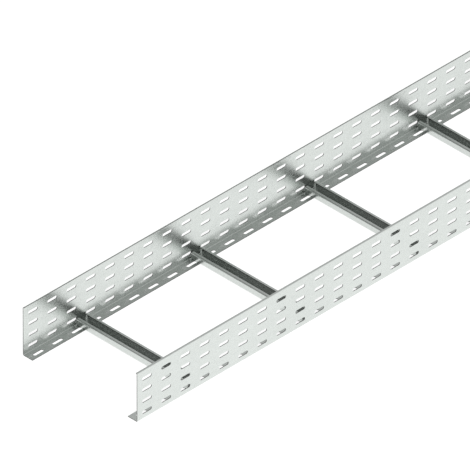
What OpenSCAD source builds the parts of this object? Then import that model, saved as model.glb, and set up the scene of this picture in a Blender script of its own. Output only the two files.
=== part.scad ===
// Cable ladder section: two perforated side rails, each folded from one strip of
// galvanised sheet, joined by C-section rungs that stand on the rails' bottom flanges.
// A rail's top edge is turned inwards too, into a narrow lip that spares the cables.
// X runs along the ladder, Y across it and Z up. The origin is the middle of the
// footprint, level with the undersides of the flanges. All sizes are in millimetres.

/* [Ladder] */
// Length of the side rails
length = 3000; // [600:50:6000]
// Width over the outer faces of the side rails
width = 300; // [150:10:600]

/* [Side rail] */
// Height of a side rail
rail_h = 110; // [60:5:150]
// Thickness of the side rail's sheet
rail_t = 1.5; // [1:0.25:3]
// Width of the bottom flange, from the rail's outer face
flange_w = 25; // [22:1:40]
// Inside radius of the folds at the web's bottom and top
fold_r = 1.5; // [1:0.5:4]
// Flat part of the narrow lip at the rail's top edge, beyond its fold
rim_flat = 0.5; // [0.25:0.25:5]

/* [Slots] */
// Length of a slot, end to end
slot_l = 25; // [15:1:35]
// Width of a slot
slot_w = 7; // [5:0.5:9]
// Distance from one column of slots to the next, along the rail
slot_pitch = 50; // [40:5:100]
// Distance from one row of slots to the next, up the web
row_pitch = 25; // [15:1:40]
// Height of the lowest row's centre line
row_z = 15; // [12:0.5:20]
// Least distance from a row's centre line to the rail's top edge
row_margin = 15; // [12:1:30]
// Distance from the rail's outer face to the centre line of the flange's slots
flange_row_y = 15; // [12:0.5:16]

/* [Rungs] */
// Distance from one rung to the next
rung_pitch = 300; // [150:50:600]
// Width of a rung
rung_w = 30; // [25:1:60]
// Height of a rung
rung_h = 15; // [12:1:40]
// Thickness of the rung's sheet
rung_t = 1.5; // [1:0.25:2.5]
// Width of each lip at the rung's open top, from the rung's outer face
lip_w = 6.5; // [5:0.5:9]
// Inside radius of the rung's folds
rung_r = 1.5; // [0.5:0.25:2.5]
// Clearance between a rung's end and the start of the fold's rounding
rung_play = 1; // [0.25:0.25:3]

/* [Hidden] */
$fn = 48;
fold_out_r = fold_r + rail_t;
rung_out_r = rung_r + rung_t;
rung_l = width - 2 * (rail_t + fold_r + rung_play);
rung_count = floor(length / rung_pitch);
column_count = floor(length / slot_pitch);
row_count = floor((rail_h - row_margin - row_z) / row_pitch) + 1;
rail_colour = [0.87, 0.88, 0.87];
rung_colour = [0.81, 0.82, 0.81];

// Name of rung i, counted from the end at -X.
function rung_name(i) = str("rung_", i);

// Place of item i along the ladder, for a row of count items that is centred on X = 0.
function place(i, count, pitch) = (i - (count + 1) / 2) * pitch;

// Lays a drawing of a cross-section in the YZ plane and runs it along X, centred.
module run_along_x(run) {
    translate([-run / 2, 0, 0]) rotate([90, 0, 90]) linear_extrude(run) children();
}

// One slot with round ends, long along X and centred on the origin.
module slot() {
    between_ends = slot_l - slot_w;
    square([between_ends, slot_w], center = true);
    for (side = [-1, 1]) translate([side * between_ends / 2, 0]) circle(d = slot_w);
}

// A row of slots along the whole rail.
module slot_row() {
    for (i = [1:column_count]) translate([place(i, column_count, slot_pitch), 0]) slot();
}

// The web: an upright plate with its rows of slots, from the bottom fold to the top fold.
module rail_web() {
    translate([0, rail_t, 0]) rotate([90, 0, 0]) linear_extrude(rail_t) difference() {
        translate([-length / 2, fold_out_r]) square([length, rail_h - 2 * fold_out_r]);
        for (row = [0:row_count - 1]) translate([0, row_z + row * row_pitch]) slot_row();
    }
}

// The bottom flange: a level plate with one row of slots, from the fold inwards.
module rail_flange() {
    linear_extrude(rail_t) difference() {
        translate([-length / 2, fold_out_r]) square([length, flange_w - fold_out_r]);
        translate([0, flange_row_y]) slot_row();
    }
}

// The fold: a quarter turn of the sheet that joins the web to a level plate.
module rail_fold() {
    run_along_x(length) translate([fold_out_r, fold_out_r]) intersection() {
        difference() {
            circle(fold_out_r);
            circle(fold_r);
        }
        translate([-fold_out_r, -fold_out_r]) square(fold_out_r);
    }
}

// The rim: the web's top edge, turned inwards into a narrow lip.
module rail_rim() {
    translate([0, 0, rail_h]) mirror([0, 0, 1]) {
        rail_fold();
        translate([-length / 2, fold_out_r, 0]) cube([length, rim_flat, rail_t]);
    }
}

// The side rail at -Y, with its flange turned in under the rungs.
module side_rail() {
    color(rail_colour) translate([0, -width / 2, 0]) {
        rail_web();
        rail_fold();
        rail_flange();
        rail_rim();
    }
}

// A rectangle with rounded corners, centred on X and standing on Y = 0.
module rounded_rectangle(w, h, r) {
    translate([-w / 2, r]) square([w, h - 2 * r]);
    translate([-w / 2 + r, 0]) square([w - 2 * r, h]);
    for (x = [-1, 1], y = [r, h - r]) translate([x * (w / 2 - r), y]) circle(r);
}

// The rung's section: a folded channel, open at the top between two lips.
module rung_section() {
    difference() {
        rounded_rectangle(rung_w, rung_h, rung_out_r);
        translate([0, rung_t]) rounded_rectangle(rung_w - 2 * rung_t, rung_h - 2 * rung_t, rung_r);
        translate([-rung_w / 2 + lip_w, rung_h / 2]) square([rung_w - 2 * lip_w, rung_h]);
    }
}

// Rung i: it stands on the flat of both flanges, with its square ends just short of the webs.
module rung(i) {
    color(rung_colour) translate([place(i, rung_count, rung_pitch), rung_l / 2, rail_t])
        rotate([90, 0, 0]) linear_extrude(rung_l) rung_section();
}

side_rail();  // side_rail_left
mirror([0, 1, 0]) side_rail();  // side_rail_right
for (i = [1:rung_count]) rung(i);
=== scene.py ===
# %% [markdown]
# # A straight section of cable ladder
# Two perforated side rails and ten open rungs arrive from the CAD model, each as its own
# object in metres. Their shapes are final, so this lesson is about what a picture needs
# besides: a camera, a studio, and above all the look of galvanised steel.

import bmesh
import bpy
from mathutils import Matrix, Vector


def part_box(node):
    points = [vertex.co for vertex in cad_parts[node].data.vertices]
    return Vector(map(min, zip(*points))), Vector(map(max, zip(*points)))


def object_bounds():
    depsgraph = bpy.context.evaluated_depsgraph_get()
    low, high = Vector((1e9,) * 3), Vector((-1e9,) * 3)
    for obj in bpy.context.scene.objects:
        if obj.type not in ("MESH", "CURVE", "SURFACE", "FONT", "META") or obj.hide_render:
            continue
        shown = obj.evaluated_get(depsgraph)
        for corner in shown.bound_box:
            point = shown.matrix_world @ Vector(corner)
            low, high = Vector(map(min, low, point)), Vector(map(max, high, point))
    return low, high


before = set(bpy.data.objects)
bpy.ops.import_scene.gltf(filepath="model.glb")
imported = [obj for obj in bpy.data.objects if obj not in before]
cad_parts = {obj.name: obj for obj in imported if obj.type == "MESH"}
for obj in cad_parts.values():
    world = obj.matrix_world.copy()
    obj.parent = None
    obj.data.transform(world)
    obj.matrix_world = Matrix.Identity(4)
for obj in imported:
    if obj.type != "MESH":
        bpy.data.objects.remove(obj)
cad_low, cad_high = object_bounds()
rung_names = [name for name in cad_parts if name.startswith("rung_")]
print(f"ladder {cad_high.x - cad_low.x:.3f} m long, with {len(rung_names)} rungs")

# %% [markdown]
# ## The camera
# A technical picture shows such stock from one of its corners, with its three directions
# equally foreshortened. An orthographic camera would do that, but a very long lens from far
# away looks almost the same and still fits the whole ladder in when it is moved round it.
# The camera aims at the foot of the far rail, about half a metre from the near end, and is
# close enough for the rest of the ladder to run out of view.

# %% Place the camera
LENS = 1700
SENSOR = 36
SEEN_WIDTH = 0.8755
AIM_FROM_NEAR_END = 0.54932
AIM_FROM_NEAR_RAIL = 0.29510
AIM = Vector((cad_low.x + AIM_FROM_NEAR_END, cad_low.y + AIM_FROM_NEAR_RAIL, cad_low.z))
LINE_OF_SIGHT = Vector((1, 1, -1)).normalized()
DISTANCE = SEEN_WIDTH * LENS / SENSOR

camera = bpy.data.objects.new("Camera", bpy.data.cameras.new("Camera"))
bpy.context.scene.collection.objects.link(camera)
bpy.context.scene.camera = camera
camera.data.lens = LENS
camera.data.sensor_width = SENSOR
camera.data.clip_end = 3 * DISTANCE
camera.location = AIM - LINE_OF_SIGHT * DISTANCE
camera.rotation_mode = "QUATERNION"
camera.rotation_quaternion = LINE_OF_SIGHT.to_track_quat("-Z", "Y")
print(f"camera {DISTANCE:.1f} m away, {SEEN_WIDTH} m seen across the picture")

# %% [markdown]
# ## Shader maths in plain Python
# Node graphs are quick to draw by hand, but slow to read back. A small class wraps an output
# socket and overloads Python's operators, so that an expression such as `1 - mask * 0.2`
# adds its own Math nodes. Every node comes from one method of the graph.

# %% A wire between nodes
class Wire:
    """An output socket that Python's operators can work on."""

    def __init__(self, graph, socket):
        self.graph, self.socket = graph, socket

    def __add__(self, other):
        return self.graph.maths("ADD", self, other)

    def __sub__(self, other):
        return self.graph.maths("SUBTRACT", self, other)

    def __rsub__(self, other):
        return self.graph.maths("SUBTRACT", other, self)

    def __mul__(self, other):
        return self.graph.maths("MULTIPLY", self, other)


# %% A graph of nodes
class Graph:
    """The node tree of a material or of the world."""

    def __init__(self, owner):
        owner.use_nodes = True
        self.tree = owner.node_tree
        self.tree.nodes.clear()

    def node(self, kind, inputs=None, out=0, **settings):
        """Adds a node, with wires or constants at its inputs, and gives one of its outputs."""
        made = self.tree.nodes.new(kind)
        for name, value in settings.items():
            setattr(made, name, value)
        for name, value in (inputs or {}).items():
            if isinstance(value, Wire):
                self.tree.links.new(value.socket, made.inputs[name])
            else:
                made.inputs[name].default_value = value
        return Wire(self, made.outputs[out]) if made.outputs else made

    def maths(self, operation, *values):
        """A Math node on wires or constants."""
        return self.node("ShaderNodeMath", dict(enumerate(values)), operation=operation)

    def also(self, wire, out):
        """Another output of the node that the wire comes from."""
        return Wire(self, wire.socket.node.outputs[out])


# %% [markdown]
# ## The floor
# Bare metal shows what is round it more than its own colour, so the studio is designed from
# its reflections. The floor is white paper that reaches far, which is what the upright
# sheets mirror. Most of its white is a glow that the camera and mirrored rays see, but that
# lights nothing matt. The rest is a plain matt colour, which receives the ladder's shadow.

# %% Lay the floor
FLOOR_HALF_SIZE = 30

floor_mesh = bpy.data.meshes.new("floor")
shape = bmesh.new()
bmesh.ops.create_grid(shape, x_segments=1, y_segments=1, size=FLOOR_HALF_SIZE)
shape.to_mesh(floor_mesh)
shape.free()
floor = bpy.data.objects.new("floor", floor_mesh)
bpy.context.scene.collection.objects.link(floor)
print(f"floor {2 * FLOOR_HALF_SIZE} m wide each way")

# %% Make the paper
WHITE = (1, 1, 1, 1)
PAPER_GLOW = 0.88
PAPER_MATT = (0.16, 0.16, 0.16, 1)

paper = bpy.data.materials.new("white_paper")
graph = Graph(paper)
from_camera = graph.node("ShaderNodeLightPath", out="Is Camera Ray")
seen = from_camera
for kind in ("Is Glossy Ray", "Is Transmission Ray"):
    seen = graph.maths("MAXIMUM", seen, graph.also(from_camera, kind))
glow = graph.node("ShaderNodeEmission", {"Color": WHITE, "Strength": seen * PAPER_GLOW})
matt = graph.node("ShaderNodeBsdfDiffuse", {"Color": PAPER_MATT})
both = graph.node("ShaderNodeAddShader", {0: glow, 1: matt})
graph.node("ShaderNodeOutputMaterial", {"Surface": both})
floor_mesh.materials.append(paper)
print(f"{paper.name}: {len(graph.tree.nodes)} nodes")

# %% [markdown]
# ## The sky of the studio
# The flanges, the rims and the bottoms of the rungs face upwards and mirror the sky. It is
# white at the horizon and grey above, so that they read as darker than the upright sheets.
# The grey is darker towards the near end than towards the far end. The inside of a rung's
# far wall mirrors that darker half by way of the rung's bottom, and so it comes out darker.

# %% Paint the sky
WHITE_UP_TO, GREY_FROM = 0.12, 0.50
NEAR_SIDE, FAR_SIDE = -0.5, 0.5
NEAR_GREY, FAR_GREY = 0.26, 0.56


def ramp(graph, value, start, end, first, last):
    """A smooth change from first to last while the value goes from start to end."""
    return graph.node("ShaderNodeMapRange", {
        "Value": value, "From Min": start, "From Max": end, "To Min": first, "To Max": last,
    }, interpolation_type="SMOOTHSTEP")


world = bpy.data.worlds.new("studio")
bpy.context.scene.world = world
graph = Graph(world)
direction = graph.node("ShaderNodeTexCoord")
to_far_end = graph.node("ShaderNodeSeparateXYZ", {0: direction})
upwards = graph.also(to_far_end, "Z")
whiteness = ramp(graph, upwards, WHITE_UP_TO, GREY_FROM, 1.0, 0.0)
grey = ramp(graph, to_far_end, NEAR_SIDE, FAR_SIDE, NEAR_GREY, FAR_GREY)
level = grey + whiteness * (1 - grey)
background = graph.node("ShaderNodeBackground", {"Color": WHITE, "Strength": level})
graph.node("ShaderNodeOutputWorld", {"Surface": background})
print(f"sky: {NEAR_GREY} to {FAR_GREY} above, white at the horizon")

# %% [markdown]
# ## The lamp
# One large round lamp hangs high up, beyond the near end and on the near rail's side. It
# lights the matt part of the paper and lays the ladder's soft shadow on it. The steel
# doesn't mirror it, because a bright disc would show in every crystal.

# %% Hang the lamp
LAMP_HEIGHT = 5
LAMP_PLACE = Vector((AIM.x - 2, AIM.y - 3, LAMP_HEIGHT))
LAMP_WIDTH = 4
LAMP_WATTS = 500

lamp = bpy.data.objects.new("key_light", bpy.data.lights.new("key_light", "AREA"))
lamp.data.shape = "DISK"
lamp.data.size = LAMP_WIDTH
lamp.data.energy = LAMP_WATTS
lamp.location = LAMP_PLACE
lamp.rotation_mode = "QUATERNION"
lamp.rotation_quaternion = (AIM - LAMP_PLACE).to_track_quat("-Z", "Y")
lamp.visible_glossy = False
bpy.context.scene.collection.objects.link(lamp)
print(f"{lamp.name}: {LAMP_WIDTH} m wide, {LAMP_WATTS} W")

# %% [markdown]
# ## The zinc skin
# The strip is dipped in zinc before it is slotted and folded. The zinc has crystals a few
# millimetres wide that differ slightly in tone and shine, and faint streaks, and it blurs
# what it mirrors. Cell noise makes the crystals, noise that is stretched along the ladder
# makes the streaks, and a broad noise lets tone and shine drift.

# %% Tone and shine of the zinc
ZINC = (0.668, 0.702, 0.678)
ZINC_ROUGHNESS = 0.28
CRYSTALS_PER_METRE = 260.0
STREAKS_PER_METRE = (6.0, 420.0, 420.0)
DRIFTS_PER_METRE = 7.0
CRYSTAL_TONE, STREAK_TONE, DRIFT_TONE = 0.05, 0.06, 0.10
CRYSTAL_SHINE, DRIFT_SHINE = 0.06, 0.10


def centred(wire):
    """Moves a wire's values from 0 ... 1 to -0.5 ... 0.5."""
    return wire - 0.5


def noise(graph, place, scale, detail):
    return graph.node("ShaderNodeTexNoise", {"Vector": place, "Scale": scale, "Detail": detail})


def zinc_skin(graph, place):
    """How far the zinc's tone and roughness stray from their middle values, as two wires."""
    cells = graph.node("ShaderNodeTexVoronoi", {
        "Vector": place, "Scale": CRYSTALS_PER_METRE}, out="Color")
    crystal = graph.node("ShaderNodeSeparateXYZ", {0: cells})
    stretched = graph.node("ShaderNodeMapping", {"Vector": place, "Scale": STREAKS_PER_METRE})
    streaks = centred(noise(graph, stretched, 1.0, 2.0))
    drift = centred(noise(graph, place, DRIFTS_PER_METRE, 3.0))
    tone = centred(crystal) * CRYSTAL_TONE + streaks * STREAK_TONE + drift * DRIFT_TONE
    shine = centred(graph.also(crystal, "Y")) * CRYSTAL_SHINE + drift * DRIFT_SHINE
    return tone, shine


# %% [markdown]
# ## Cut edges
# Shears and punches cut through the zinc, so the ends of the sheet and the walls of the
# slots show bare steel, which is darker and duller. On a rail such a face is one whose
# normal lies in the plane of its sheet: along X at an end, not along Y in the web, and not
# along Z in the flange and the rim. On a rung it is a square end or the edge of a lip.

# %% Two helpers for masks
MOSTLY = 0.5


def above(wire, limit):
    """1 where the wire is above the limit, otherwise 0."""
    return wire.graph.maths("GREATER_THAN", wire, limit)


def along(normal, axis):
    """1 where the normal points mostly along the axis, either way, otherwise 0."""
    return above(normal.graph.maths("ABSOLUTE", normal.graph.also(normal, axis)), MOSTLY)


# %% [markdown]
# A rail's web ends where its folds begin, so the masks need the depth of a fold, which is
# the sheet and the radius inside it. The folds themselves are never cut.

# %% Where the bare steel shows on a rail
HALF_WIDTH = (cad_high.y - cad_low.y) / 2
RAIL_HEIGHT = cad_high.z - cad_low.z
FOLD = 0.0031


def rail_cuts(graph, place, normal):
    """1 on the cut faces of a rail, otherwise 0."""
    from_outside = HALF_WIDTH - graph.maths("ABSOLUTE", graph.also(place, "Y"))
    height = graph.also(place, "Z")
    turned_in = above(from_outside, FOLD)
    upright = above(height, FOLD) * (1 - above(height, RAIL_HEIGHT - FOLD)) * (1 - turned_in)
    edges = upright * (1 - along(normal, "Y")) + turned_in * (1 - along(normal, "Z"))
    return graph.maths("MAXIMUM", along(normal, "X"), edges)


# %% [markdown]
# All rungs are alike, so one mask serves them all once the way along the ladder is wrapped
# to the distance from the middle of the nearest rung.

# %% Where it shows on a rung
FIRST_RUNG, SECOND_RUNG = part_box("rung_1"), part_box("rung_2")
RUNG_MIDDLE = (FIRST_RUNG[0].x + FIRST_RUNG[1].x) / 2
HALF_PITCH = (SECOND_RUNG[0].x - FIRST_RUNG[0].x) / 2
MOUTH_REACH = 0.010


def rung_cuts(graph, place, normal):
    """1 on the cut faces of a rung, otherwise 0."""
    along_ladder = graph.also(place, "X")
    from_middle = graph.maths("WRAP", along_ladder - RUNG_MIDDLE, HALF_PITCH, -HALF_PITCH)
    in_mouth = 1 - above(graph.maths("ABSOLUTE", from_middle), MOUTH_REACH)
    return graph.maths("MAXIMUM", along(normal, "Y"), in_mouth * along(normal, "X"))


# %% [markdown]
# ## The finish
# The zinc is a metal whose colour the tone scales. Where the mask says cut, the colour and
# the roughness change to those of bare steel. A fine grain gives the surface its tooth. The
# rungs' zinc is a little darker than the rails': this is painted shade, for the shade on the
# rungs.

# %% Make the two steels
BARE = (0.16, 0.16, 0.155, 1)
BARE_ROUGHNESS = 0.55
GRAINS_PER_METRE = 900.0
GRAIN_STRENGTH, GRAIN_DEPTH = 0.05, 0.0002


def galvanised(name, find_cuts, lightness):
    material = bpy.data.materials.new(name)
    graph = Graph(material)
    coordinates = graph.node("ShaderNodeTexCoord", out="Object")
    place = graph.node("ShaderNodeSeparateXYZ", {0: coordinates})
    normal = graph.node("ShaderNodeSeparateXYZ", {0: graph.also(coordinates, "Normal")})
    cut = find_cuts(graph, place, normal)
    tone, shine = zinc_skin(graph, coordinates)
    zinc = graph.node("ShaderNodeVectorMath", {
        0: ZINC, "Scale": tone + lightness}, operation="SCALE")
    colour = graph.node("ShaderNodeMix", {
        "Factor": cut, 6: zinc, 7: BARE}, out=2, data_type="RGBA")
    roughness = graph.node("ShaderNodeMix", {
        "Factor": cut, 2: shine + ZINC_ROUGHNESS, 3: BARE_ROUGHNESS}, data_type="FLOAT")
    relief = graph.node("ShaderNodeBump", {
        "Strength": GRAIN_STRENGTH, "Distance": GRAIN_DEPTH,
        "Height": noise(graph, coordinates, GRAINS_PER_METRE, 2.0)})
    metal = graph.node("ShaderNodeBsdfPrincipled", {
        "Base Color": colour, "Metallic": 1.0, "Roughness": roughness, "Normal": relief})
    graph.node("ShaderNodeOutputMaterial", {"Surface": metal})
    print(f"{name}: {len(graph.tree.nodes)} nodes")
    return material


# %% Put them on
rail_steel = galvanised("rail_steel", rail_cuts, 1.0)
# The rungs' lower lightness of 0.93 is painted shade.
rung_steel = galvanised("rung_steel", rung_cuts, 0.93)
for name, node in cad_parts.items():
    node.data.materials.clear()
    node.data.materials.append(rung_steel if name in rung_names else rail_steel)

# %% [markdown]
# ## Colours as they are
# The Standard view shows the colours as they were mixed, which keeps the paper white.

# %% Picture settings
bpy.context.scene.view_settings.view_transform = "Standard"
